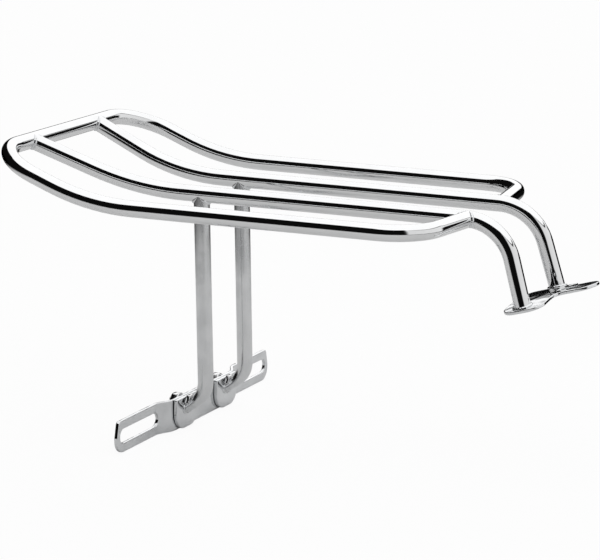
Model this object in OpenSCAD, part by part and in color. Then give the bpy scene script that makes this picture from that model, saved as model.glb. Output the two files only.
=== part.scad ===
// Motorcycle luggage rack: bent and welded round tube, with a saddle foot at the
// front and two struts down to a slotted cross bracket at the back.
// Millimetres. X points forward, Y to the left of the machine, Z up.
// The origin is the middle of the slotted bracket, on its rear face.

/* [Tubes] */
// Outside diameter of the deck tubes
rail_diameter = 12.7; // [8:0.1:25]
// Outside diameter of the two struts
strut_diameter = 12.5; // [8:0.1:25]
// Bend radius of the rails where the deck kicks up
kick_radius = 190; // [60:1:300]
// Bend radius of the loop's rear corners
rear_corner_radius = 41; // [20:1:80]
// Bend radius of the loop's front corners
front_corner_radius = 36; // [20:1:60]
// Bend radius of the inner rails down into the legs
leg_bend_radius = 39; // [20:1:60]

/* [Deck] */
// Height of the deck tubes' centres above the slots
deck_height = 175.9; // [120:0.1:260]
// Strut centre ahead of the bracket's rear face
strut_ahead = 25.2; // [20:0.1:60]
// Kick-up corner behind the struts
kick_behind = 55.3; // [20:0.1:90]
// Rear bar behind the struts
rear_behind = 141.8; // [110:0.1:220]
// Rise of the rear bar over the deck
kick_rise = 34; // [10:0.5:60]
// Half width of the outer loop at its front corners
outer_half_front = 113; // [85:0.5:150]
// Half width of the outer loop at the kick-up
outer_half_kick = 115.4; // [85:0.5:150]
// Half width of the outer loop at the rear bar
outer_half_rear = 117; // [90:0.5:150]
// Front corner of the outer loop ahead of the struts
loop_front_ahead = 211.2; // [150:0.2:260]
// Extra reach of the loop's front arms by the inner rails
loop_arm_lead = 16; // [0:0.5:30]
// Half spacing of the inner rails on the deck
inner_half_deck = 34.8; // [25:0.1:50]
// Half spacing of the inner rails at the kick-up
inner_half_kick = 36; // [25:0.1:55]
// Half spacing of the inner rails at the rear bar
inner_half_rear = 53; // [30:0.5:65]

/* [Front legs and foot] */
// Corner of the front bend ahead of the loop's front corners
leg_bend_lead = 38.8; // [36:0.2:60]
// Foot of the legs ahead of the corner of the front bend
foot_lead = 18.2; // [10:0.2:40]
// Half spacing of the legs at the foot
foot_half = 38.4; // [28:0.2:55]
// Drop from the deck tubes' centres to the top of the foot
foot_drop = 61.8; // [50:0.1:120]
// Radius of the saddle shape pressed into the foot
saddle_radius = 300; // [120:5:500]
// Thickness of the foot plate
foot_thickness = 2.5; // [2:0.1:6]
// Half width of the foot plate across the machine
foot_wing = 47.5; // [46:0.5:70]
// Foot plate behind the leg centres
foot_back = 16; // [12:0.5:25]
// Foot plate ahead of the leg centres, at the legs
foot_front = 17.5; // [12:0.5:30]
// Rounding of the foot plate's outer corners
foot_corner = 12; // [2:0.5:12]
// Rounding where the tongue joins the foot plate
foot_fillet = 6; // [2:0.5:12]
// Tongue reach ahead of the leg centres
tongue_reach = 48; // [40:0.5:80]
// Half width of the tongue
tongue_half = 13; // [9:0.5:22]
// Width of the slot in the tongue
tongue_slot_width = 8; // [4:0.1:12]
// Middle to middle length of the slot in the tongue
tongue_slot_travel = 10; // [0.5:0.5:20]
// Slot centre behind the tongue's tip
tongue_slot_back = 24; // [16:0.5:30]

/* [Struts] */
// Half spacing of the struts at the bracket
strut_half_foot = 35.6; // [25:0.1:50]
// Knee of each strut ahead of its top
strut_lean = 4.4; // [0:0.1:12]
// Strut bend radius at the bottom
strut_bend_radius = 21; // [14:0.5:40]
// Angle of the strut's bottom end below level
strut_end_angle = 17; // [5:1:45]
// Strut end centre below the slots
strut_end_below = 5.8; // [0:0.1:12]

/* [Bracket and tabs] */
// Overall length of the slotted bracket
bracket_length = 269; // [220:1:340]
// Height of the slotted bracket
bracket_height = 25.4; // [24:0.1:40]
// Thickness of the slotted bracket and the tabs
bracket_thickness = 3; // [2:0.1:5]
// Forward step of the bracket's middle
joggle_step = 7; // [6.4:0.1:10]
// Half length of the bracket's stepped middle
joggle_inner = 54.5; // [50:0.5:58]
// Length of each sloping step
joggle_run = 12.5; // [5:0.5:16]
// Rounding of the bracket's lower corners
bracket_corner_low = 10.5; // [2:0.5:11]
// Rounding of the bracket's upper corners
bracket_corner_high = 3.5; // [1:0.5:6]
// Lean of the bracket's ends above the slots
bracket_end_lean = 3; // [1:0.5:4]
// Width of the bracket slots
slot_width = 11.4; // [6:0.1:14]
// Middle to middle length of the bracket slots
slot_travel = 51; // [10:0.5:56]
// Slot centres in from the bracket's ends
slot_inset = 36; // [34:0.5:50]
// Half width of the tabs on the strut ends
tab_half = 18.5; // [14:0.5:24]
// Tab's lower edge below the slots
tab_below = 12.5; // [10:0.1:16]
// Rounding of the tabs' lower corners
tab_corner = 13; // [2:0.5:13.5]

/* [Bolts] */
// Bolt diameter
bolt_diameter = 6.35; // [4:0.05:6.5]
// Bolt head and nut width across the flats
hex_width = 11.1; // [7:0.1:11.2]
// Height of the bolt head
head_height = 3.2; // [2:0.1:4]
// Height of the nut
nut_height = 5; // [3:0.1:8]
// Bolt centres above the slots
bolt_above = 8; // [7:0.1:8.5]
// Washer diameter
washer_diameter = 12.5; // [10:0.1:14]
// Washer thickness
washer_thickness = 1.2; // [0.8:0.1:2]

/* [Welds] */
// Space left between parts that meet
fit_gap = 0.3; // [0.2:0.05:0.5]
// Size of the weld beads
bead = 1.6; // [1:0.1:2.5]

/* [Hidden] */
$fn = 48;
lap = 1;
thin = 0.07;
sx = strut_ahead;
leg_bend_ahead = loop_front_ahead + leg_bend_lead;
foot_ahead = leg_bend_ahead + foot_lead;
slot_half = bracket_length / 2 - slot_inset;
bolt_half = strut_half_foot;
hex_bore = bolt_diameter + 2 * fit_gap;
tab_face = joggle_step + 2 * bracket_thickness + fit_gap;
deck_z = deck_height;
rear_z = deck_height + kick_rise;
kick_x = sx - kick_behind;
rear_x = sx - rear_behind;
leg_angle = atan2(foot_lead, foot_drop);
rise = saddle_radius - sqrt(pow(saddle_radius, 2) - pow(foot_half, 2));
foot_x = sx + foot_ahead - rise * sin(leg_angle);
foot_z = deck_z - foot_drop + rise * cos(leg_angle);
strut_end_z = -strut_end_below;
knee_x = sx + strut_lean;
knee_z = strut_end_z + (knee_x - tab_face) * tan(strut_end_angle);

function unit(v) = v / norm(v);
function opening(a, b, c) = acos(unit(a - b) * unit(c - b));
function lead(a, b, c, r) = r == 0 ? 0 : r / tan(opening(a, b, c) / 2);
function side(p, s) = [p[0], s * p[1], p[2]];
function sided(path, s) = [for (p = path) side(p, s)];

// Half spacing of the inner rails along the deck, which closes in towards the front
function deck_half(x) = inner_half_kick + (inner_half_deck - inner_half_kick)
    * (x - kick_x) / (sx + leg_bend_ahead - kick_x);
function on_rail(x) = [x, deck_half(x), deck_z];

// Centre lines, front to back, for the left side
inner_path = [
    [sx + foot_ahead, foot_half, deck_z - foot_drop],
    [sx + leg_bend_ahead, inner_half_deck, deck_z],
    [kick_x, inner_half_kick, deck_z],
    [rear_x, inner_half_rear, rear_z]
];
inner_bends = [0, leg_bend_radius, kick_radius, 0];
loop_side = [
    on_rail(sx + loop_front_ahead + loop_arm_lead),
    [sx + loop_front_ahead, outer_half_front, deck_z],
    [kick_x, outer_half_kick, deck_z],
    [rear_x, outer_half_rear, rear_z]
];
loop_path = [for (i = [0:3]) side(loop_side[i], -1), for (i = [3:-1:0]) loop_side[i]];
loop_bends = [
    0, front_corner_radius, kick_radius, rear_corner_radius,
    rear_corner_radius, kick_radius, front_corner_radius, 0
];
strut_path = [
    on_rail(sx),
    [knee_x, strut_half_foot, knee_z],
    [tab_face, strut_half_foot, strut_end_z]
];
strut_bends = [0, strut_bend_radius, 0];

// Lays the Z axis along a direction
module aim(from, way) {
    z = unit(way);
    helper = abs(z[2]) < 0.9 ? [0, 0, 1] : [0, 1, 0];
    x = unit(cross(helper, z));
    y = cross(z, x);
    multmatrix([
        [x[0], y[0], z[0], from[0]],
        [x[1], y[1], z[1], from[1]],
        [x[2], y[2], z[2], from[2]],
        [0, 0, 0, 1]
    ])
        children();
}

module rod(from, to, d) {
    aim(from, to - from)
        cylinder(h = norm(to - from), d = d);
}

module elbow(a, b, c, r, d) {
    u = unit(a - b);
    w = unit(c - b);
    gape = opening(a, b, c);
    middle = b + unit(u + w) * r / sin(gape / 2);
    x = unit(b + u * lead(a, b, c, r) - middle);
    z = cross(x, -u);
    multmatrix([
        [x[0], -u[0], z[0], middle[0]],
        [x[1], -u[1], z[1], middle[1]],
        [x[2], -u[2], z[2], middle[2]],
        [0, 0, 0, 1]
    ])
        rotate_extrude(angle = 180 - gape)
            translate([r, 0])
                circle(d = d);
}

// Round bar along a path, each inside point with its own bend radius.
// The straights are a hair thinner than the bends and run a little way into them.
module bent(path, bends, d, before = 0, after = 0) {
    n = len(path);
    for (i = [0:n - 2]) {
        way = unit(path[i + 1] - path[i]);
        cut_a = i == 0 ? -before : lead(path[i - 1], path[i], path[i + 1], bends[i]) - lap;
        cut_b = i == n - 2 ? -after : lead(path[i], path[i + 1], path[i + 2], bends[i + 1]) - lap;
        rod(path[i] + way * cut_a, path[i + 1] - way * cut_b, d - thin);
    }
    for (i = [1:n - 2])
        elbow(path[i - 1], path[i], path[i + 1], bends[i], d);
}

// Places things in the foot plate's own frame, its crown at the origin
module at_foot() {
    translate([foot_x, 0, foot_z])
        rotate([0, -leg_angle, 0])
            children();
}

module saddle(extra) {
    translate([-100, 0, -saddle_radius])
        rotate([0, 90, 0])
            cylinder(h = 240, r = saddle_radius + extra, $fn = 360);
}

module inner_rail(s) {
    color("silver")
        difference() {
            bent(sided(inner_path, s), inner_bends, rail_diameter, before = 4);
            rod([rear_x, -outer_half_rear, rear_z], [rear_x, outer_half_rear, rear_z],
                rail_diameter + 2 * fit_gap);
            at_foot()
                saddle(fit_gap);
        }
}

module outer_loop() {
    color("silver")
        difference() {
            bent(loop_path, loop_bends, rail_diameter);
            for (s = [-1, 1])
                bent(sided([for (i = [0:2]) inner_path[i]], s),
                    [0, leg_bend_radius, 0], rail_diameter + 2 * fit_gap);
        }
}

module strut(s) {
    color("silver")
        difference() {
            bent(sided(strut_path, s), strut_bends, strut_diameter, after = 6);
            rod(side(on_rail(sx - 30), s), side(on_rail(sx + 30), s), rail_diameter + 2 * fit_gap);
            translate([tab_face + fit_gap - 40, s * strut_half_foot - 20, -40])
                cube([40, 40, 80]);
        }
}

module foot_outline() {
    reach = tongue_reach - tongue_half;
    span = foot_back + foot_front;
    translate([-foot_back, -foot_wing + foot_corner, 0])
        cube([span, 2 * (foot_wing - foot_corner), 60]);
    translate([-foot_back + foot_corner, -foot_wing, 0])
        cube([span - 2 * foot_corner, 2 * foot_wing, 60]);
    for (x = [-foot_back + foot_corner, foot_front - foot_corner])
        for (s = [-1, 1])
            translate([x, s * (foot_wing - foot_corner), 0])
                cylinder(h = 60, r = foot_corner);
    translate([0, -tongue_half, 0])
        cube([reach, 2 * tongue_half, 60]);
    translate([reach, 0, 0])
        cylinder(h = 60, r = tongue_half);
    difference() {
        translate([foot_front - 1, -tongue_half - foot_fillet, 0])
            cube([foot_fillet + 1, 2 * (tongue_half + foot_fillet), 60]);
        for (s = [-1, 1])
            translate([foot_front + foot_fillet, s * (tongue_half + foot_fillet), -1])
                cylinder(h = 62, r = foot_fillet);
    }
}

module foot_plate() {
    slot_x = tongue_reach - tongue_slot_back;
    color("gainsboro")
        at_foot()
            difference() {
                intersection() {
                    translate([0, 0, -50])
                        foot_outline();
                    saddle(0);
                }
                saddle(-foot_thickness);
                for (end = [-1, 1])
                    translate([slot_x + end * tongue_slot_travel / 2, 0, -20])
                        cylinder(h = 40, d = tongue_slot_width);
                translate([slot_x - tongue_slot_travel / 2, -tongue_slot_width / 2, -20])
                    cube([tongue_slot_travel, tongue_slot_width, 40]);
            }
}

// Plan of the stepped bracket, drawn for one height
module bracket_plan() {
    t = bracket_thickness;
    a = joggle_inner;
    b = joggle_inner + joggle_run;
    e = bracket_length / 2;
    j = joggle_step;
    polygon([
        [0, -e], [t, -e], [t, -b], [t + j, -a], [t + j, a], [t, b], [t, e],
        [0, e], [0, b], [j, a], [j, -a], [0, -b]
    ]);
}

module corner_cut(y, z, sy, sz, r) {
    translate([-5, y, z])
        difference() {
            translate([0, sy > 0 ? -r : -1, sz > 0 ? -r : -1])
                cube([30, r + 1, r + 1]);
            translate([-1, -sy * r, -sz * r])
                rotate([0, 90, 0])
                    cylinder(h = 32, r = r);
        }
}

// Cuts the leaning upper half of one bracket end, with its rounded top corner
module end_cut(s) {
    e = bracket_length / 2;
    h = bracket_height / 2;
    r = bracket_corner_high;
    tilt = atan2(bracket_end_lean, h);
    mid = e - (r + (h - r) * sin(tilt)) / cos(tilt);
    reach = r + 6;
    multmatrix([[0, 0, 1, -5], [s, 0, 0, 0], [0, 1, 0, 0], [0, 0, 0, 1]]) {
        linear_extrude(height = 30)
            polygon([[e, 0], [e + 2, 0], [e + 2, h + 1], [e - bracket_end_lean * (h + 1) / h, h + 1]]);
        difference() {
            linear_extrude(height = 30)
                polygon([
                    [mid, h - r], [mid + reach * cos(tilt), h - r + reach * sin(tilt)],
                    [mid + reach, h + 1], [mid, h + 1]
                ]);
            translate([mid, h - r, -1])
                cylinder(h = 32, r = r);
        }
    }
}

module slotted_bracket() {
    color("lightgray")
        difference() {
            translate([0, 0, -bracket_height / 2])
                linear_extrude(height = bracket_height)
                    bracket_plan();
            for (s = [-1, 1]) {
                for (end = [-1, 1])
                    translate([-5, s * slot_half + end * slot_travel / 2, 0])
                        rotate([0, 90, 0])
                            cylinder(h = 20, d = slot_width);
                translate([-5, s * slot_half - slot_travel / 2, -slot_width / 2])
                    cube([20, slot_travel, slot_width]);
                corner_cut(s * bracket_length / 2, -bracket_height / 2, s, -1, bracket_corner_low);
                end_cut(s);
                translate([-5, s * bolt_half, bolt_above])
                    rotate([0, 90, 0])
                        cylinder(h = 30, d = hex_bore);
            }
        }
}

// U-shaped tab that carries one strut end and takes one bolt
module tab(s) {
    color("lightgray")
        translate([0, s * bolt_half, 0])
            difference() {
                translate([tab_face - bracket_thickness, -tab_half, -tab_below])
                    cube([bracket_thickness, 2 * tab_half, tab_below + bracket_height / 2]);
                for (v = [-1, 1])
                    corner_cut(v * tab_half, -tab_below, v, -1, tab_corner);
                translate([-5, 0, bolt_above])
                    rotate([0, 90, 0])
                        cylinder(h = 30, d = hex_bore);
            }
}

module bolt(s) {
    back = joggle_step - washer_thickness - nut_height - 3 * fit_gap;
    color("dimgray")
        translate([0, s * bolt_half, bolt_above])
            rotate([0, 90, 0]) {
                translate([0, 0, back - 2])
                    cylinder(h = tab_face + fit_gap - back + 2, d = bolt_diameter);
                translate([0, 0, tab_face + fit_gap])
                    intersection() {
                        rotate(30)
                            cylinder(h = head_height, d = hex_width / cos(30), $fn = 6);
                        cylinder(h = head_height, d1 = hex_width * 1.5, d2 = hex_width * 0.98);
                    }
            }
}

module washer(s) {
    color("gray")
        translate([joggle_step - fit_gap - washer_thickness, s * bolt_half, bolt_above])
            rotate([0, 90, 0])
                difference() {
                    cylinder(h = washer_thickness, d = washer_diameter);
                    translate([0, 0, -1])
                        cylinder(h = washer_thickness + 2, d = hex_bore);
                }
}

module nut(s) {
    front = joggle_step - 2 * fit_gap - washer_thickness;
    color("dimgray")
        translate([front - nut_height, s * bolt_half, bolt_above])
            rotate([0, 90, 0])
                difference() {
                    intersection() {
                        rotate(30)
                            cylinder(h = nut_height, d = hex_width / cos(30), $fn = 6);
                        cylinder(h = nut_height, d1 = hex_width * 0.98, d2 = hex_width * 1.5);
                    }
                    translate([0, 0, -1])
                        cylinder(h = nut_height + 2, d = hex_bore);
                }
}

// Bead in the corner where a tube ends on the side of another
module saddle_bead(s, hit, away, d, main_a, main_b, main_d) {
    grow = 2 * (bead + fit_gap);
    tip = side(hit, s);
    slack = 2 * fit_gap;
    way = unit(side(away, s) - tip);
    color("white")
        difference() {
            intersection() {
                rod(tip, tip + way * (main_d / 2 + 8), d + grow);
                rod(side(main_a, s), side(main_b, s), main_d + grow + 1);
            }
            rod(tip - way * 20, tip + way * 40, d + slack - 0.1);
            rod(side(main_a, s), side(main_b, s), main_d + slack + 0.1);
        }
}

module weld_rear(s) {
    saddle_bead(s, inner_path[3], inner_path[2], rail_diameter,
        [rear_x, inner_half_rear - 14, rear_z], [rear_x, inner_half_rear + 14, rear_z],
        rail_diameter);
}

module weld_strut_top(s) {
    saddle_bead(s, strut_path[0], strut_path[1], strut_diameter,
        on_rail(sx - 14), on_rail(sx + 14), rail_diameter);
}

module weld_front(s) {
    tip = side(loop_side[0], s);
    way = unit(side(loop_side[1], s) - tip);
    arm = sided([for (i = [0:2]) inner_path[i]], s);
    color("white")
        difference() {
            intersection() {
                rod(tip, tip + way * (rail_diameter / 2 + 8), rail_diameter + 2 * (bead + fit_gap));
                bent(arm, [0, leg_bend_radius, 0], rail_diameter + 2 * (bead + fit_gap) + 0.6);
            }
            rod(tip - way * 20, tip + way * 40, rail_diameter + 2 * fit_gap - 0.1);
            bent(arm, [0, leg_bend_radius, 0], rail_diameter + 2 * fit_gap + 0.15);
        }
}

module weld_strut_foot(s) {
    tip = side(strut_path[2], s);
    way = unit(side(strut_path[1], s) - tip);
    low = -tab_below;
    color("white")
        difference() {
            intersection() {
                aim(tip - way * 3, way)
                    cylinder(h = 6.5, d1 = strut_diameter + 2 * bead + 4,
                        d2 = strut_diameter + 2 * fit_gap + 0.4);
                translate([tab_face + fit_gap, s * strut_half_foot - 20, low])
                    cube([20, 40, bolt_above - hex_width / 2 - fit_gap - low]);
            }
            rod(tip - way * 20, tip + way * 20, strut_diameter + 2 * fit_gap);
        }
}

module weld_leg(s) {
    tip = side(inner_path[0], s);
    way = unit(side(inner_path[1], s) - tip);
    color("white")
        difference() {
            aim(tip - way * 3, way)
                cylinder(h = 6.6, d1 = rail_diameter + 2 * bead + 3, d2 = rail_diameter + 2 * fit_gap + 0.4);
            rod(tip - way * 20, tip + way * 20, rail_diameter + 2 * fit_gap);
            at_foot()
                saddle(fit_gap);
        }
}

outer_loop();
inner_rail(1);  // inner_rail_left
inner_rail(-1);  // inner_rail_right
strut(1);  // strut_left
strut(-1);  // strut_right
foot_plate();
tab(1);  // tab_left
tab(-1);  // tab_right
slotted_bracket();
bolt(1);  // bolt_left
bolt(-1);  // bolt_right
washer(1);  // washer_left
washer(-1);  // washer_right
nut(1);  // nut_left
nut(-1);  // nut_right
weld_rear(1);  // weld_rear_left
weld_rear(-1);  // weld_rear_right
weld_front(1);  // weld_front_left
weld_front(-1);  // weld_front_right
weld_strut_top(1);  // weld_strut_top_left
weld_strut_top(-1);  // weld_strut_top_right
weld_strut_foot(1);  // weld_strut_foot_left
weld_strut_foot(-1);  // weld_strut_foot_right
weld_leg(1);  // weld_leg_left
weld_leg(-1);  // weld_leg_right
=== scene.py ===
import math
import random

import bpy
from mathutils import Matrix, Vector
from mathutils.geometry import delaunay_2d_cdt


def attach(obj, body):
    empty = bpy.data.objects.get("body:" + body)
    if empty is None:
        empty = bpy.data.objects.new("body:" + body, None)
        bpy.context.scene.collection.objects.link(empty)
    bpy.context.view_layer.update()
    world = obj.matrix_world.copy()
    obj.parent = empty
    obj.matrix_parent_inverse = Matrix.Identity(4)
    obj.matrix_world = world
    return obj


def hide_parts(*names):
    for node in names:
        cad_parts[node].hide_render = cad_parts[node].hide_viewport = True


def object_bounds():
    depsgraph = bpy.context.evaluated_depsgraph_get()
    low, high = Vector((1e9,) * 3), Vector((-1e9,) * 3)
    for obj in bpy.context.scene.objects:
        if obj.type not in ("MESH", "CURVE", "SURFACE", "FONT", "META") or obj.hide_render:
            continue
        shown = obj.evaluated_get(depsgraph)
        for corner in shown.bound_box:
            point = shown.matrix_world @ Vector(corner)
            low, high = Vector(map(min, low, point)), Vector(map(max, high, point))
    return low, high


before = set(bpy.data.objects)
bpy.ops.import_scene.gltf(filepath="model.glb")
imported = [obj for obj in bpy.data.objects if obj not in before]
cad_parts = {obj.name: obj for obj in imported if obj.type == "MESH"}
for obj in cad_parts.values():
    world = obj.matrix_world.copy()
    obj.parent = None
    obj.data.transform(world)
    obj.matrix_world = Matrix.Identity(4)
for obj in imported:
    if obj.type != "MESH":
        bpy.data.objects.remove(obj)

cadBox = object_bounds()
mm = 0.001                         # every size below is in millimetres, meshes are in metres


# camera: a long lens a little over two metres away, off the right rear of the rack
cameraPlan = {
    "place": (999.76, -1989.99, 582.89),
    "turn": 24.48,
    "rise": 12.27,
    "roll": 0.53,
    "lens": 171.09,
    "sensor": 36,
}


def lookDirection(turn, rise):
    turn, rise = math.radians(turn), math.radians(rise)
    return Vector((math.sin(turn) * math.cos(rise), -math.cos(turn) * math.cos(rise), math.sin(rise)))


def placeCamera(plan):
    turn, roll = math.radians(plan["turn"]), math.radians(plan["roll"])
    back = lookDirection(plan["turn"], plan["rise"])
    right = Vector((math.cos(turn), math.sin(turn), 0))
    up = back.cross(right)
    across = right * math.cos(roll) + up * math.sin(roll)
    over = up * math.cos(roll) - right * math.sin(roll)
    lens = bpy.data.cameras.new("rackCamera")
    lens.sensor_fit = "HORIZONTAL"
    lens.sensor_width = plan["sensor"]
    lens.lens = plan["lens"]
    camera = bpy.data.objects.new("rackCamera", lens)
    bpy.context.scene.collection.objects.link(camera)
    turned = Matrix((across, over, back)).transposed().to_4x4()
    camera.matrix_world = Matrix.Translation(Vector(plan["place"]) * mm) @ turned
    bpy.context.scene.camera = camera


placeCamera(cameraPlan)
bpy.context.scene.view_settings.view_transform = "Standard"
print("camera placed")


# shader sums: a Strand is one output socket, a Finish is the node tree that it belongs to
class Strand:
    def __init__(self, finish, socket):
        self.finish = finish
        self.socket = socket

    def __getitem__(self, name):
        return Strand(self.finish, self.socket.node.outputs[name])

    def __add__(self, other):
        return self.finish.sum("ADD", self, other)

    def __sub__(self, other):
        return self.finish.sum("SUBTRACT", self, other)

    def __rsub__(self, other):
        return self.finish.sum("SUBTRACT", other, self)

    def __mul__(self, other):
        return self.finish.sum("MULTIPLY", self, other)

    __radd__ = __add__
    __rmul__ = __mul__


class Finish:
    def __init__(self, owner):
        owner.use_nodes = True
        self.tree = owner.node_tree
        self.tree.nodes.clear()

    def node(self, kind, settings=None, sockets=None):
        made = self.tree.nodes.new(kind)
        for key, value in (settings or {}).items():
            if key == "stops":
                ramp = made.color_ramp.elements
                while len(ramp) < len(value):
                    ramp.new(1.0)
                for element, (place, colour) in zip(ramp, value):
                    element.position = place
                    element.color = (colour,) * 3 + (1,)
            else:
                setattr(made, key, value)
        for key, value in (sockets or {}).items():
            if isinstance(value, Strand):
                self.tree.links.new(value.socket, made.inputs[key])
            else:
                made.inputs[key].default_value = value
        return Strand(self, made.outputs[0]) if made.outputs else None

    def sum(self, how, a, b):
        return self.node("ShaderNodeMath", {"operation": how}, {0: a, 1: b})

    def tint(self, amount, low, high):        # a colour between two others
        both = {"data_type": "RGBA"}
        return self.node("ShaderNodeMix", both, {0: amount, 6: (*low, 1), 7: (*high, 1)})["Result"]


def noiseOn(finish, coords, scale, detail=3.0, stretch=(1, 1, 1)):
    laid = finish.node("ShaderNodeVectorMath", {"operation": "MULTIPLY"}, {0: coords, 1: stretch})
    return finish.node("ShaderNodeTexNoise", {}, {"Vector": laid, "Scale": scale, "Detail": detail})["Fac"]


chromeLooks = {
    "tube_chrome": {"low": (0.78, 0.785, 0.79), "high": (0.84, 0.845, 0.85), "haze": 0.025, "smear": 0.04,
                    "wave": 0.00002, "grain": 0.000001, "stretch": (1, 1, 1)},
    "strut_chrome": {"low": (0.66, 0.67, 0.68), "high": (0.82, 0.825, 0.83), "haze": 0.13, "smear": 0.12,
                     "wave": 0.00005, "grain": 0.00005, "stretch": (1, 1, 0.03)},
    "plate_chrome": {"low": (0.70, 0.71, 0.72), "high": (0.84, 0.85, 0.86), "haze": 0.05, "smear": 0.08,
                     "wave": 0.0007, "grain": 0.000012, "stretch": (1, 1, 1)},
    "fastener": {"low": (0.72, 0.72, 0.73), "high": (0.84, 0.84, 0.84), "haze": 0.08, "smear": 0.08,
                 "wave": 0.00001, "grain": 0.000006, "stretch": (1, 1, 1)},
    "weld_bead": {"low": (0.66, 0.67, 0.68), "high": (0.80, 0.81, 0.82), "haze": 0.07, "smear": 0.12,
                  "wave": 0.00005, "grain": 0.00002, "stretch": (1, 1, 1)},
}
chromeNoise = {
    "smear": 55,                       # wiped haze, a few centimetres across
    "streak": 900,                     # polishing grain
    "wave": 70,                        # unevenness left by drawing and bending
    "cloud": (0.35, 0.7),              # the part of the smear noise that is used
    "streakShare": 0.4,                # what the grain adds, the rest comes from the smear
}


def chromeFinish(name, look):
    material = bpy.data.materials.new(name)
    f = Finish(material)
    coords = f.node("ShaderNodeTexCoord")["Object"]
    smear = noiseOn(f, coords, chromeNoise["smear"], 4.0)
    streak = noiseOn(f, coords, chromeNoise["streak"], 2.0, look["stretch"])
    wave = noiseOn(f, coords, chromeNoise["wave"], 1.0)
    (least, most), share = chromeNoise["cloud"], chromeNoise["streakShare"]
    cloud = f.node("ShaderNodeMapRange", {}, {"Value": smear, "From Min": least, "From Max": most})
    colour = f.tint(cloud * (1 - share) + streak * share, look["high"], look["low"])
    rough = cloud * look["smear"] + streak * (look["smear"] * share) + look["haze"]
    soft = f.node("ShaderNodeBump", {}, {"Strength": 1.0, "Distance": look["wave"], "Height": wave})
    fine = f.node("ShaderNodeBump", {}, {"Strength": 1.0, "Distance": look["grain"], "Height": streak,
                                         "Normal": soft})
    shader = f.node("ShaderNodeBsdfPrincipled", {}, {
        "Base Color": colour, "Roughness": rough, "Metallic": 1.0, "Normal": fine})
    f.node("ShaderNodeOutputMaterial", {}, {"Surface": shader})
    return material


finishes = {name: chromeFinish(name, look) for name, look in chromeLooks.items()}
print("chrome finishes made")


# pieces
def showPiece(name, points, faces, slot, nodes):
    mesh = bpy.data.meshes.new(name)
    mesh.from_pydata([Vector(p) * mm for p in points], [], faces)
    mesh.validate()
    mesh.polygons.foreach_set("use_smooth", [True] * len(mesh.polygons))
    mesh.materials.append(finishes[slot])
    piece = bpy.data.objects.new(name, mesh)
    bpy.context.scene.collection.objects.link(piece)
    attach(piece, "root")
    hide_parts(*nodes)
    return piece


def skin(rings, joined=False):
    # quads between rings of the same count
    count = len(rings[0])
    points = [p for ring in rings for p in ring]
    faces = []
    last = len(rings) if joined else len(rings) - 1
    for i in range(last):
        a, b = i * count, (i + 1) % len(rings) * count
        for k in range(count):
            n = (k + 1) % count
            faces.append((a + k, a + n, b + n, b + k))
    return points, faces


def circle(centre, across, up, radius, sides):
    angles = (2 * math.pi * k / sides for k in range(sides))
    return [centre + (across * math.cos(a) + up * math.sin(a)) * radius for a in angles]


rack = {
    "railRadius": 6.35,
    "strutRadius": 6.25,
    "loopTip": (247.4, 34.89, 175.9),
    "loopCorners": [(237.1, 113, 175.9), (-30.1, 115.4, 175.9), (-116.6, 117, 209.9)],
    "loopBends": [36, 190, 41],
    "railCorners": [(293.4, 38.4, 114.1), (275.2, 34.8, 175.9), (-30.1, 36, 175.9), (-116.6, 53, 209.9)],
    "railBends": [39, 190],
    "strutCorners": [(25.2, 35.783, 175.9), (29.4, 35.6, 12.4), (13.3, 35.6, -1.2)],
    "strutBend": 30,
    "strutFlat": 0.50,                 # what the press leaves of the strut's thickness at its lower end
    "strutPressed": 30,                # length of the pressed end
    "strutSpread": 0.35,               # how much wider the pressed end gets
    "footBack": 6,                     # how far each tube end is drawn back before it is coped
    "rearBack": 9,
    "strutBack": 10,
    "loopBack": 9,
    "tubeSides": 72,
    "strutSides": 64,
    "footCrown": (292.703, 0, 116.467),
    "footPitch": 16.41,
    "saddle": 300,
    "tabFace": 13.3,
}


def mirrored(points, side):
    return [Vector((p[0], p[1] * side, p[2])) for p in points]


def footFrame():
    # the middle of the foot plate's top, its way ahead and its way up
    pitch = math.radians(rack["footPitch"])
    ahead = Vector((math.cos(pitch), 0, math.sin(pitch)))
    return Vector(rack["footCrown"]), ahead, Vector((-math.sin(pitch), 0, math.cos(pitch)))


def bendLine(corners, bends, step=2.5, guard=1.5):
    # centre line as (point, direction) pairs: straight runs, and an arc at each inner corner, in steps of
    # so many degrees. A pair this guard away from each arc keeps the shading of the straight run straight
    corners = [Vector(c) for c in corners]
    way = (corners[1] - corners[0]).normalized()
    line = [(corners[0], way)]
    for here, before, after, bend in zip(corners[1:-1], corners, corners[2:], bends):
        out, on = (before - here).normalized(), (after - here).normalized()
        gape = out.angle(on)
        lead = bend / math.tan(gape / 2)
        middle = here + (out + on).normalized() * bend / math.sin(gape / 2)
        start = here + out * lead
        spoke = start - middle
        turn = math.pi - gape
        steps = max(4, round(math.degrees(turn) / step))
        axis = (-out).cross(on).normalized()
        line.append((start + out * guard, -out))
        for k in range(steps + 1):
            spin = Matrix.Rotation(turn * k / steps, 3, axis)
            line.append((middle + spin @ spoke, (spin @ -out).normalized()))
        line.append((here + on * (lead + guard), on))
    line.append((corners[-1], (corners[-1] - corners[-2]).normalized()))
    return line


def drawBack(line, start, end=0):
    line[0] = (line[0][0] + line[0][1] * start, line[0][1])
    line[-1] = (line[-1][0] - line[-1][1] * end, line[-1][1])


def meetTube(axisPoint, axisWay, radius):
    # how far a point goes along a direction before it touches the side of another tube
    def reach(point, way):
        k = axisWay.normalized()
        q = point - axisPoint
        q = q - k * q.dot(k)
        w = way - k * way.dot(k)
        a, b, c = w.dot(w), q.dot(w), q.dot(q) - radius * radius
        return (-b - math.sqrt(max(b * b - a * c, 0))) / a
    return reach


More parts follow.
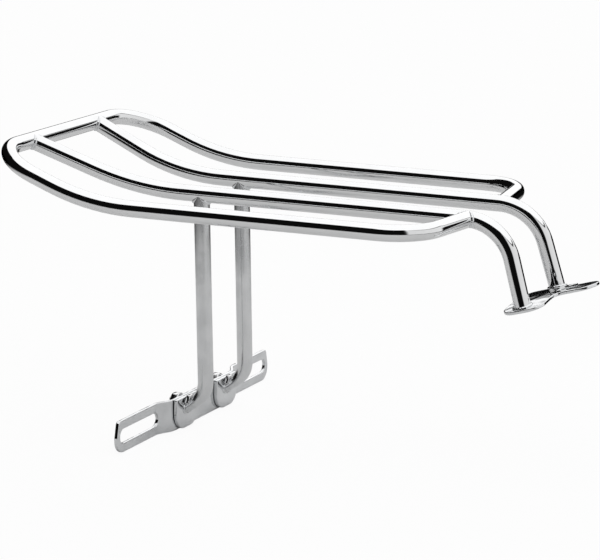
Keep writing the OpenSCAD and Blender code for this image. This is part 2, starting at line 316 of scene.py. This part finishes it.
def meetPlane(planePoint, planeNormal):
    def reach(point, way):
        return (planePoint - point).dot(planeNormal) / way.dot(planeNormal)
    return reach


def tubeRings(line, radius, sides, startMeet=None, endMeet=None):
    rings = []
    side = line[0][1].orthogonal().normalized()
    for point, way in line:
        side = (side - way * side.dot(way)).normalized()
        top = way.cross(side)
        rings.append(circle(point, side, top, radius, sides))
    if startMeet:
        way = -line[0][1]
        rings[0] = [p + way * startMeet(p, way) for p in rings[0]]
    if endMeet:
        way = line[-1][1]
        rings[-1] = [p + way * endMeet(p, way) for p in rings[-1]]
    return rings


def railMeets(side):
    # where the tubes land on each other, seen from the tube that ends there
    corners = mirrored(rack["railCorners"], side)
    r = rack["railRadius"]
    rear = meetTube(corners[3], Vector((0, 1, 0)), r)
    along = (corners[1] - corners[2]).normalized()
    strutTop = meetTube(corners[2], along, r)
    crown, ahead, over = footFrame()
    foot = meetTube(crown - over * rack["saddle"], ahead, rack["saddle"])
    tip = mirrored([rack["loopTip"]], side)[0]
    curve = bendLine(corners[:3], rack["railBends"][:1], 0.5)
    near = min(curve, key=lambda p: (p[0] - tip).length)
    front = meetTube(near[0], near[1], r)
    return {"rear": rear, "strutTop": strutTop, "foot": foot, "front": front}


meets = {side: railMeets(side) for side in (1, -1)}
tabFront = meetPlane(Vector((rack["tabFace"], 0, 0)), Vector((1, 0, 0)))


def loopTube():
    half = [rack["loopTip"]] + rack["loopCorners"]
    corners = mirrored(half, -1) + mirrored(half, 1)[::-1]
    bends = rack["loopBends"]
    line = bendLine(corners, bends + bends[::-1])
    drawBack(line, rack["loopBack"], rack["loopBack"])
    rings = tubeRings(line, rack["railRadius"], rack["tubeSides"], meets[-1]["front"], meets[1]["front"])
    showPiece("outerLoopTube", *skin(rings), "tube_chrome", ["outer_loop"])


def innerRail(side, name):
    corners = mirrored(rack["railCorners"], side)
    line = bendLine(corners, rack["railBends"])
    drawBack(line, rack["footBack"], rack["rearBack"])
    rings = tubeRings(line, rack["railRadius"], rack["tubeSides"], meets[side]["foot"], meets[side]["rear"])
    showPiece("innerRail" + name, *skin(rings), "tube_chrome", ["inner_rail_" + name.lower()])


def strutTube(side, name):
    # the lower end is pressed flat from its outer side, and its inner side still runs into the bolt head
    # gives back its last ring
    corners = mirrored(rack["strutCorners"], side)
    radius, end = rack["strutRadius"], corners[-1]
    line = bendLine(corners, [rack["strutBend"]], 1.5)
    drawBack(line, rack["strutBack"])
    line.insert(-1, (end - line[-1][1] * 2, line[-1][1]))      # a ring just before the tab
    rings = tubeRings(line, radius, rack["strutSides"], meets[side]["strutTop"])
    for k, (point, way) in enumerate(line):
        far = min(1, (point - end).length / rack["strutPressed"])
        left = 1 - (1 - rack["strutFlat"]) * (1 - far * far * (3 - 2 * far))
        outward = way.cross(Vector((0, 1, 0))).normalized()
        if k and left < 1:
            spread = (1 - left) * rack["strutSpread"]
            rings[k] = [p - outward * (1 - left) * ((p - point).dot(outward) + radius)
                        + Vector((0, (p - point).y * spread, 0)) for p in rings[k]]
    way = line[-1][1]
    rings[-1] = [p + way * tabFront(p, way) for p in rings[-1]]
    showPiece("strut" + name, *skin(rings), "strut_chrome", ["strut_" + name.lower()])
    return rings[-1]


loopTube()
strutEnds = {}
for side, name in ((1, "Left"), (-1, "Right")):
    innerRail(side, name)
    strutEnds[side] = strutTube(side, name)
print("tubes bent and coped")


# weld beads: a rippled fillet that follows the line where two pieces meet
beadPlan = {
    "radius": 1.5,
    "footRadius": 1.0,                 # of the beads round the strut feet
    "pitch": 2.1,                      # length of a ripple
    "ripple": 0.10,                    # height of the ripples, as a share of the radius
    "peak": 1.6,                       # above 1 their tops are round
    "puddle": 0.06,                    # how much they differ in size
    "around": 14,
    "points": 132,
    "startBack": 12,                   # where the search for the joint starts, back along the tube
    "inside": 0.985,                   # how far out in the tube it starts, as a share of the tube's radius
    "lean": 0.7,                       # how far the bead leans back over its tube
    "thin": 0.82,                      # how much it thins out where the two tubes run level
    "thinPower": 5,                    # a higher power keeps that to a shorter stretch
    "tuck": 0.3,                       # how deep it sinks in there
}


def beadSize(turn, puddles, radius):
    bump = 1 - abs(2 * (turn % 1) - 1) ** beadPlan["peak"]
    puddle = beadPlan["puddle"] * puddles[int(turn) % len(puddles)]
    return radius * (1 + beadPlan["ripple"] * (bump - 0.5) + puddle)


def beadAlong(name, node, tip, away, tubeRadius, meet, seed, otherWay=None, lift=0):
    # otherWay is the run of the other tube, where the bead has to thin out
    rng = random.Random(seed)
    radius = beadPlan["radius"]
    way = (tip - away).normalized()
    side = way.orthogonal().normalized()
    top = way.cross(side)
    start = tip - way * beadPlan["startBack"]
    count = beadPlan["points"]
    path, outward = [], []
    for k in range(count):
        a = 2 * math.pi * k / count
        arm = side * math.cos(a) + top * math.sin(a)
        p = start + arm * tubeRadius * beadPlan["inside"]
        path.append(p + way * meet(p, way))
        outward.append(arm)
    length = sum((path[k] - path[k - 1]).length for k in range(count))
    ripples = max(8, round(length / beadPlan["pitch"]))
    level = way.cross(otherWay).normalized() if otherWay else None
    puddles = [rng.uniform(-0.5, 0.5) for _ in range(ripples)]
    rings = []
    for k in range(count):
        onward = (path[(k + 1) % count] - path[k - 1]).normalized()
        arm = outward[k] - way * beadPlan["lean"]
        arm = (arm - onward * arm.dot(onward)).normalized()
        flat = onward.cross(arm)
        size = beadSize(ripples * k / count, puddles, radius)
        close = abs(outward[k].dot(level)) ** beadPlan["thinPower"] if level else 0
        size *= 1 - beadPlan["thin"] * close
        centre = path[k] + arm * radius * lift - outward[k] * beadPlan["tuck"] * close
        rings.append(circle(centre, arm, flat, size, beadPlan["around"]))
    showPiece(name, *skin(rings, joined=True), "weld_bead", [node])


def strutFootBead(name, node, ring, seed):
    # runs round the pressed end of a strut, in the corner between it and its tab
    rng = random.Random(seed)
    count = len(ring)
    middle = sum(ring, Vector()) / count
    ahead = Vector((1, 0, 0))
    ripples = round(sum((ring[k] - ring[k - 1]).length for k in range(count)) / beadPlan["pitch"])
    puddles = [rng.uniform(-0.5, 0.5) for _ in range(ripples)]
    rings = []
    for k, p in enumerate(ring):
        onward = (ring[(k + 1) % count] - ring[k - 1]).normalized()
        out = onward.cross(ahead)
        out = out if out.dot(p - middle) > 0 else -out
        size = beadSize(ripples * k / count, puddles, beadPlan["footRadius"])
        rings.append(circle(p, out, ahead, size, beadPlan["around"]))
    showPiece(name, *skin(rings, joined=True), "weld_bead", [node])


def weldRack():
    for side, name in ((1, "Left"), (-1, "Right")):
        rail = mirrored(rack["railCorners"], side)
        strut = mirrored(rack["strutCorners"], side)
        tip, corner = mirrored([rack["loopTip"], rack["loopCorners"][0]], side)
        r, low, meet = rack["railRadius"], name.lower(), meets[side]
        along = rail[1] - rail[2]
        beadAlong("weldRear" + name, "weld_rear_" + low, rail[3], rail[2], r, meet["rear"], 3,
                  Vector((0, 1, 0)))
        beadAlong("weldFront" + name, "weld_front_" + low, tip, corner, r, meet["front"], 5, along)
        beadAlong("weldStrutTop" + name, "weld_strut_top_" + low, strut[0], strut[1], rack["strutRadius"],
                  meet["strutTop"], 7, along)
        beadAlong("weldLeg" + name, "weld_leg_" + low, rail[0], rail[1], r, meet["foot"], 9, lift=0.1)
        strutFootBead("weldStrutFoot" + name, "weld_strut_foot_" + low, strutEnds[side], 11)


weldRack()
print("weld beads laid")


# plates: an outline with holes, rounded at its edges, then carried onto its curved or stepped surface
def distinct(points):
    # leaves out a point that repeats the one before it
    return [p for i, p in enumerate(points) if (p - points[i - 1]).length > 1e-4]


def roundedPath(corners, radii, step=1.2, arcStep=0.9):
    # closed outline with an arc at each corner, counterclockwise, from pieces no longer than these steps
    out = []
    count = len(corners)
    for i in range(count):
        here = Vector(corners[i])
        before, after = Vector(corners[i - 1]), Vector(corners[(i + 1) % count])
        a, b = (before - here).normalized(), (after - here).normalized()
        r = radii[i]
        gape = a.angle(b)
        lead = r / math.tan(gape / 2)
        middle = here + (a + b).normalized() * r / math.sin(gape / 2)
        start = here + a * lead - middle
        sweep = math.pi - gape
        if a.x * b.y - a.y * b.x > 0:
            sweep = -sweep
        steps = max(3, math.ceil(abs(sweep) * r / arcStep))
        for k in range(steps + 1):
            c, s = math.cos(sweep * k / steps), math.sin(sweep * k / steps)
            out.append(middle + Vector((start.x * c - start.y * s, start.x * s + start.y * c)))
    filled = []
    for i, p in enumerate(out):
        q = out[(i + 1) % len(out)]
        parts = max(1, math.ceil((q - p).length / step))
        filled += [p.lerp(q, k / parts) for k in range(parts)]
    return distinct(filled)


def slotPath(centre, travel, width, pieces=16):
    # counterclockwise, with so many pieces in each half circle; a round hole has no travel
    r = width / 2
    ends = []
    for end in (1, -1):
        for k in range(pieces + 1):
            a = math.pi * (k / pieces - 0.5) + (0 if end > 0 else math.pi)
            ends.append(Vector((end * travel / 2 + r * math.cos(a), r * math.sin(a))))
    return [p + Vector(centre) for p in distinct(ends)]


def inset(loop, amount):
    # moves a counterclockwise outline inward by amount, and a clockwise one outward of its hole
    out = []
    count = len(loop)
    for i, p in enumerate(loop):
        a = (p - loop[i - 1]).normalized()
        b = (loop[(i + 1) % count] - p).normalized()
        na, nb = Vector((-a.y, a.x)), Vector((-b.y, b.x))
        n = (na + nb).normalized()
        out.append(p + n * amount / max(n.dot(na), 0.5))
    return out


def inside(p, loop):
    hit = False
    for i, a in enumerate(loop):
        b = loop[i - 1]
        if (a.y > p.y) != (b.y > p.y) and p.x < (b.x - a.x) * (p.y - a.y) / (b.y - a.y) + a.x:
            hit = not hit
    return hit


def roundedEdges(loops, rim, place):
    # rings from the face of each loop round to its back; firsts has each loop's first, last ring and count
    points, faces, firsts = [], [], []
    for loop in loops:
        count, base = len(loop), len(points)
        firsts.append((base, base + (len(rim) - 1) * count, count))
        for amount, depth in rim:
            points += [place(p.x, p.y, depth) for p in inset(loop, amount)]
        for i in range(len(rim) - 1):
            a, b = base + i * count, base + (i + 1) * count
            for k in range(count):
                n = (k + 1) % count
                faces.append((a + k, b + k, b + n, a + n))
    return points, faces, firsts


def innerPoints(outline, borders, grid, clear=0.6):
    # a grid inside the face, clear of its borders by this share of a cell
    edge = [p for border in borders for p in border]
    xs, ys = [p.x for p in outline], [p.y for p in outline]
    found = []
    for i in range(int((max(xs) - min(xs)) / grid[0]) + 1):
        for j in range(int((max(ys) - min(ys)) / grid[1]) + 1):
            p = Vector((min(xs) + (i + 0.5) * grid[0], min(ys) + (j + 0.5) * grid[1]))
            if inside(p, borders[0]) and not any(inside(p, b) for b in borders[1:]):
                if min((p - b).length for b in edge) > clear * min(grid):
                    found.append(p)
    return found


def plateMesh(outline, holes, plan, place):
    # outline and holes run counterclockwise, and the holes are turned round here
    # place takes (x, y, depth), with depth 0 on the face and the thickness on the back
    thickness, edge, band = plan["thickness"], plan["edge"], 0.35
    loops = [outline] + [h[::-1] for h in holes]
    rim = [(edge + band, 0), (edge, 0)]
    rim += [(edge * (1 - math.sin(a)), edge * (1 - math.cos(a)))
            for a in (math.radians(d) for d in (22, 45, 68, 90))]
    rim += [(i, thickness - d) for i, d in rim[::-1]]
    points, faces, firsts = roundedEdges(loops, rim, place)

    # both faces share one triangulation, with inner points so that they can bend
    borders = [inset(loop, rim[0][0]) for loop in loops]
    flat, edges = [], []
    for border in borders:
        edges += [(len(flat) + k, len(flat) + (k + 1) % len(border)) for k in range(len(border))]
        flat += border
    borderCount = len(flat)
    flat += innerPoints(outline, borders, plan["grid"])
    insideOutline = 2                  # the triangulation fills the outline, its holes too
    made = delaunay_2d_cdt(flat, edges, [], insideOutline, 1e-5)
    coords, triangles, origins = made[0], made[2], made[3]
    for depth, back in ((0, False), (thickness, True)):
        index = []
        for co, origin in zip(coords, origins):
            k = min(origin) if origin else borderCount
            if k < borderCount:
                for start, end, count in firsts:
                    if k < count:
                        index.append((end if back else start) + k)
                        break
                    k -= count
            else:
                index.append(len(points))
                points.append(place(co.x, co.y, depth))
        for t in triangles:
            middle = sum((coords[v] for v in t), Vector((0, 0))) / 3
            if any(inside(middle, b) for b in borders[1:]):
                continue                                 # the holes stay open
            face = tuple(index[v] for v in t)
            faces.append(face[::-1] if back else face)
    return points, faces


footPlan = {
    "wing": 47.5,
    "back": 16,
    "front": 17.5,
    "corner": 12,
    "fillet": 6,
    "reach": 48,
    "tongue": 13,
    "slotWidth": 8,
    "slotTravel": 10,
    "slotBack": 24,
    "thickness": 2.5,
    "edge": 0.6,
    "grid": (3.0, 3.0),
}


def footPlate(plan):
    w, f, b, t = plan["wing"], plan["front"], plan["back"], plan["tongue"]
    tip, tipRadius = plan["reach"], t - 0.01            # a hair of straight edge stays between the two arcs
    outline = roundedPath(
        [(-b, w), (-b, -w), (f, -w), (f, -t), (tip, -t), (tip, t), (f, t), (f, w)],
        [plan["corner"]] * 3 + [plan["fillet"], tipRadius, tipRadius, plan["fillet"], plan["corner"]])
    slot = slotPath((tip - plan["slotBack"], 0), plan["slotTravel"], plan["slotWidth"])
    crown, ahead, over = footFrame()
    big = rack["saddle"]

    def place(x, y, depth):
        lean = math.asin(y / big)
        spoke = Vector((0, math.sin(lean), 0)) + over * math.cos(lean)
        return crown - over * big + ahead * x + spoke * (big - depth)

    points, faces = plateMesh(outline, [slot], plan, place)
    showPiece("footPlate", points, faces, "plate_chrome", ["foot_plate"])


bracketPlan = {
    "length": 269,
    "height": 25.4,
    "thickness": 3,
    "step": 7,
    "inner": 54.5,
    "run": 12.5,
    "low": 10.5,                       # corner radii
    "waist": 3,
    "high": 3.5,
    "lean": 3,                         # how much narrower each end is at its top
    "soft": 0.12,                      # rounds the two bends of each step
    "slotWidth": 11.4,
    "slotTravel": 51,
    "slotHalf": 98.5,
    "hole": 6.95,
    "holeHalf": 35.6,
    "holeAbove": 8,
    "edge": 0.6,
    "grid": (1.8, 2.4),
}
tabPlan = {
    "half": 18.5,
    "below": 12.5,
    "corner": 13,
    "topCorner": 0.8,
    "thickness": 3,
    "edge": 0.6,
    "grid": (4, 4),
}


def steppedBracket(plan):
    e, h = plan["length"] / 2, plan["height"] / 2
    lean = plan["lean"]
    outline = roundedPath([(-e, -h), (e, -h), (e, 0), (e - lean, h), (lean - e, h), (-e, 0)],
                          [plan[c] for c in ("low", "low", "waist", "high", "high", "waist")])
    holes = []
    for side in (1, -1):
        holes.append(slotPath((side * plan["slotHalf"], 0), plan["slotTravel"], plan["slotWidth"]))
        holes.append(slotPath((side * plan["holeHalf"], plan["holeAbove"]), 0, plan["hole"]))

    def place(y, z, depth):
        over, soft = (plan["inner"] + plan["run"] - abs(y)) / plan["run"], plan["soft"]
        rise = soft * (math.log1p(math.exp(over / soft)) - math.log1p(math.exp((over - 1) / soft)))
        return Vector((plan["step"] * rise + plan["thickness"] - depth, y, z))

    points, faces = plateMesh(outline, holes, plan, place)
    showPiece("slottedBracket", points, faces, "plate_chrome", ["slotted_bracket"])


def tab(plan, bracket, side, name):
    middle, top, w = side * bracket["holeHalf"], bracket["height"] / 2, plan["half"]
    outline = roundedPath([(-w, -plan["below"]), (w, -plan["below"]), (w, top), (-w, top)],
                          [plan[c] for c in ("corner", "corner", "topCorner", "topCorner")])
    hole = slotPath((0, bracket["holeAbove"]), 0, bracket["hole"])

    def place(y, z, depth):
        return Vector((rack["tabFace"] - depth, middle + y, z))

    points, faces = plateMesh(outline, [hole], plan, place)
    showPiece("tab" + name, points, faces, "plate_chrome", ["tab_" + name.lower()])


footPlate(footPlan)
steppedBracket(bracketPlan)
for side, name in ((1, "Left"), (-1, "Right")):
    tab(tabPlan, bracketPlan, side, name)
print("plates cut and pressed")


# fasteners: hex bolts from the front, washers and nuts behind the bracket
boltPlan = {
    "thread": 3.175,                   # radius of the shank and of the thread's crests
    "threadDepth": 0.5,
    "pitch": 1.27,
    "threadRings": 62,
    "threadStep": 0.125,
    "ease": 0.05,                      # taken off the smooth shank and added to the nut's bore
    "hex": 5.55,                       # half of the width over the flats
    "headFrom": 13.6,
    "headHeight": 3.2,
    "shankBack": -2.1,
    "dish": (4.2, 3.9, 0.25),          # outer and inner radius and depth of the shallow forged dish
    "nutFrom": 0.2,
    "nutHeight": 5.0,
    "nutLead": 0.5,                    # countersink of the nut's bore
    "washerFrom": 5.5,
    "washer": 1.2,
    "washerRadius": 6.25,
}
hexPlan = {
    "turned": 0.96,                    # radius of the round that the chamfer leaves, as a share of the hex
    "chamfer": 28,
    "bevel": 0.16,
}


def hexRadius(a, flat):
    return flat / math.cos((a + math.pi / 6) % (math.pi / 3) - math.pi / 6)


def turned(profile, centre, sides=96):
    # profile gives (height, radius or a function of the angle); heights run along X
    rings = []
    for height, radius in profile:
        ring = []
        for k in range(sides):
            a = 2 * math.pi * k / sides
            r = radius(a) if callable(radius) else radius
            h = height(a) if callable(height) else height
            ring.append(Vector((h, centre[0] - math.sin(a) * r, centre[1] + math.cos(a) * r)))
        rings.append(ring)
    return rings


def hexEnd(x, inward, flat, chamfered):
    # the rings of one end of a hex prism, from its face to its sides; a chamfer's cone turns off the corners
    bevel, left = hexPlan["bevel"], flat * hexPlan["turned"]
    slope = math.tan(math.radians(hexPlan["chamfer"]))

    def fall(a):
        return max(0, hexRadius(a, flat) - left) * slope

    if chamfered:
        return [(x, left * 0.985), (x, left),
                (lambda a: x + inward * fall(a), lambda a: hexRadius(a, flat) - bevel * 0.6),
                (lambda a: x + inward * (fall(a) + bevel), lambda a: hexRadius(a, flat))]
    return [(x, flat * 0.9), (x, lambda a: hexRadius(a, flat) - bevel),
            (x + inward * bevel, lambda a: hexRadius(a, flat))]


def hexStack(x0, x1, flat, lowChamfered=False):
    return hexEnd(x0, 1, flat, lowChamfered) + hexEnd(x1, -1, flat, True)[::-1]


def threadAt(height, plan):
    # the groove climbs by one pitch in a turn
    def radius(a):
        turn = (height / plan["pitch"] + a / (2 * math.pi)) % 1
        return plan["thread"] - 0.03 - plan["threadDepth"] * abs(2 * turn - 1)
    return radius


def bolt(plan, centre, name):
    r, back, smooth = plan["thread"], plan["shankBack"], plan["thread"] - plan["ease"]
    under, top = plan["headFrom"], plan["headFrom"] + plan["headHeight"]
    outer, inner, deep = plan["dish"]
    heights = [back + 0.45 + plan["threadStep"] * k for k in range(plan["threadRings"])]
    profile = [(back, 0.01), (back, r - 0.9), (back + 0.4, r - 0.5)]
    profile += [(h, threadAt(h, plan)) for h in heights]
    profile += [(heights[-1] + 0.3, smooth), (under, smooth)]
    profile += hexStack(under, top, plan["hex"])
    profile += [(top - 0.02, outer), (top - deep, inner), (top - deep, 0.01)]
    showPiece("bolt" + name, *skin(turned(profile, centre)), "fastener", ["bolt_" + name.lower()])


def nut(plan, centre, name):
    x0, x1 = plan["nutFrom"], plan["nutFrom"] + plan["nutHeight"]
    lead, bore = plan["nutLead"], plan["thread"] + plan["ease"]
    profile = [(x0 + lead, bore), (x0, bore + lead)] + hexStack(x0, x1, plan["hex"], True)
    profile += [(x1, bore + lead), (x1 - lead, bore)]
    showPiece("nut" + name, *skin(turned(profile, centre), joined=True), "fastener", ["nut_" + name.lower()])


def washer(plan, centre, name):
    x0, x1 = plan["washerFrom"], plan["washerFrom"] + plan["washer"]
    r, big = plan["thread"], plan["washerRadius"]
    profile = [(x0, r + 0.4), (x0, big - 0.25), (x0 + 0.08, big - 0.07), (x0 + 0.25, big),
               (x1 - 0.25, big), (x1 - 0.08, big - 0.07), (x1, big - 0.25), (x1, r + 0.4),
               (x1 - 0.1, r + 0.3), (x0 + 0.1, r + 0.3)]
    showPiece("washer" + name, *skin(turned(profile, centre), joined=True), "fastener",
              ["washer_" + name.lower()])


for side, name in ((1, "Left"), (-1, "Right")):
    hole = (side * bracketPlan["holeHalf"], bracketPlan["holeAbove"])
    for fastener in (bolt, nut, washer):
        fastener(boltPlan, hole, name)
print("bolts, washers and nuts turned")


# studio: a pale floor whose colour is darkened away from its middle as painted shade, so that it fades into
# the room, white overhead and behind, a dark room on the camera's left
studio = {
    "floorRadius": 6.0,
    "floorSides": 160,
    "floorGap": 0.0002,                # under the lowest point of the rack
    "floorMiddle": (0.2, -0.15),
    "floorReach": 1.1,                 # what the chrome sees of the floor
    "floorColour": 0.78,
    "floorFade": (0.65, 1.05),         # distances from its middle, in metres, over which painted shade darkens the floor
    "floorFar": 0.03,                  # what the painted shade leaves of the floor's colour
    "floorSeen": 0.98,                 # its colour as the camera sees it
    "floorWhite": 0.93,                # how much of that is plain white light
    "overhead": 1.2,
    # height of the white's lower edge in degrees, by bearing: 0 toward the camera, + to its right
    "brim": [(-180, 8), (-172, 14), (-166, 24), (-160, 31), (-150, 40), (-140, 46), (-125, 52), (22, 52),
             (35, 48), (60, 40), (80, 34), (110, 31), (118, 30), (122, 24), (128, 16), (140, 9), (155, 2),
             (162, 2), (180, 8)],
    # level of the room below that edge
    "room": [(-180, 0.45), (-177, 0.30), (-174, 0.03), (-170, 0.004), (17, 0.004), (21, 0.06), (27, 0.80),
             (110, 0.90), (140, 0.85), (160, 0.60), (180, 0.45)],
    # dark frame under the edge, only on the right
    "frame": [(-180, 0.0), (30, 0.0), (50, 1.0), (160, 1.0), (170, 0.0), (180, 0.0)],
    "frameWidth": 3.5,
    "frameDepth": 0.95,
    # dark strip along the horizon, and its upper edge
    "strip": [(-180, 1.0), (-120, 1.0), (-110, 0.0), (106, 0.0), (112, 1.0), (180, 1.0)],
    "stripTop": [(-180, 6), (-120, 6), (106, 10), (128, 11), (150, 12), (165, 7), (180, 6)],
    "stripDepth": 0.995,
    "brimSoft": 0.7,                   # half widths of the blends at the edges, in degrees
    "stripSoft": 1.0,
}


def paleFloor(plan):
    mesh = bpy.data.meshes.new("paleFloor")
    low, sides = cadBox[0].z - plan["floorGap"], plan["floorSides"]
    ring = circle(Vector(), Vector((1, 0, 0)), Vector((0, 1, 0)), plan["floorRadius"], sides)
    mesh.from_pydata(ring, [], [tuple(range(sides))])
    floor = bpy.data.objects.new("paleFloor", mesh)
    floor.location = (*plan["floorMiddle"], low)
    bpy.context.scene.collection.objects.link(floor)
    material = bpy.data.materials.new("paleFloor")
    f = Finish(material)
    path = f.node("ShaderNodeLightPath")
    place = f.node("ShaderNodeTexCoord")["Object"]
    distance = f.node("ShaderNodeVectorMath", {"operation": "LENGTH"}, {0: place})["Value"]
    # painted shade: the floor's colour darkens with distance from its middle, standing in for light falling
    # off away from the rack; the chrome's reflections show it, while the camera sees the floor white
    near, far = plan["floorFade"]
    paintedFalloff = f.node("ShaderNodeMapRange", {"interpolation_type": "SMOOTHSTEP"},
                  {"Value": distance, "From Min": near, "From Max": far, "To Min": 1.0,
                   "To Max": plan["floorFar"]})
    level, seen = plan["floorColour"], plan["floorSeen"]
    paintedShadeColour = f.tint(paintedFalloff, (0, 0, 0), (level,) * 3)
    colour = f.node("ShaderNodeMix", {"data_type": "RGBA"},
                    {0: path["Is Camera Ray"], 6: paintedShadeColour, 7: (seen, seen, seen, 1)})["Result"]
    lit = f.node("ShaderNodeBsdfDiffuse", {}, {"Color": colour})
    white = f.node("ShaderNodeEmission", {}, {"Color": (1, 1, 1, 1), "Strength": 1.0})
    share = path["Is Camera Ray"] * plan["floorWhite"]
    mixed = f.node("ShaderNodeMixShader", {}, {0: share, 1: lit, 2: white})
    beyond = f.sum("GREATER_THAN", distance, plan["floorReach"]) * (1 - path["Is Camera Ray"])
    clear = f.node("ShaderNodeBsdfTransparent")
    laid = f.node("ShaderNodeMixShader", {}, {0: beyond, 1: mixed, 2: clear})
    f.node("ShaderNodeOutputMaterial", {}, {"Surface": laid})
    mesh.materials.append(material)


def byBearing(f, turn, stops, top):
    # a value that changes with the bearing, through a ramp of at most `top`
    ramp = [((bearing + 180) / 360, value / top) for bearing, value in stops]
    return f.node("ShaderNodeValToRGB", {"stops": ramp}, {"Fac": turn}) * top


def studioLight(plan):
    world = bpy.data.worlds.new("studioLight")
    bpy.context.scene.world = world
    f = Finish(world)
    way = f.node("ShaderNodeTexCoord")["Generated"]
    turn = math.radians(cameraPlan["turn"])
    toward, right = Vector((math.sin(turn), -math.cos(turn), 0)), Vector((math.cos(turn), math.sin(turn), 0))

    def part(direction):
        return f.node("ShaderNodeVectorMath", {"operation": "DOT_PRODUCT"}, {0: way, 1: direction})["Value"]

    bearing = f.sum("ARCTAN2", part(right), part(toward)) * (0.5 / math.pi) + 0.5
    height = f.sum("ARCSINE", part(Vector((0, 0, 1))), 0.0) * (180 / math.pi)
    over = height - byBearing(f, bearing, plan["brim"], 90)
    white = f.node("ShaderNodeMapRange", {}, {"Value": over, "From Min": -plan["brimSoft"],
                                              "From Max": plan["brimSoft"]})
    edge = f.node("ShaderNodeMapRange", {}, {"Value": over, "From Min": -plan["frameWidth"] - 1,
                                             "From Max": -plan["frameWidth"]})
    rise = height - byBearing(f, bearing, plan["stripTop"], 90)
    low = f.node("ShaderNodeMapRange", {}, {"Value": rise, "From Min": -plan["stripSoft"],
                                            "From Max": plan["stripSoft"], "To Min": 1.0, "To Max": 0.0})
    room = byBearing(f, bearing, plan["room"], 1.0)
    room = room * (1 - edge * byBearing(f, bearing, plan["frame"], 1.0) * plan["frameDepth"])
    dark = low * byBearing(f, bearing, plan["strip"], 1.0)
    room = room * (1 - dark * plan["stripDepth"])
    white = white * (1 - dark)
    level = room * (1 - white) + white * plan["overhead"]
    seen = f.node("ShaderNodeLightPath")["Is Camera Ray"]
    strength = level * (1 - seen) + seen
    light = f.node("ShaderNodeBackground", {}, {"Color": (1, 1, 1, 1), "Strength": strength})
    f.node("ShaderNodeOutputWorld", {}, {"Surface": light})


paleFloor(studio)
studioLight(studio)
print("studio set")
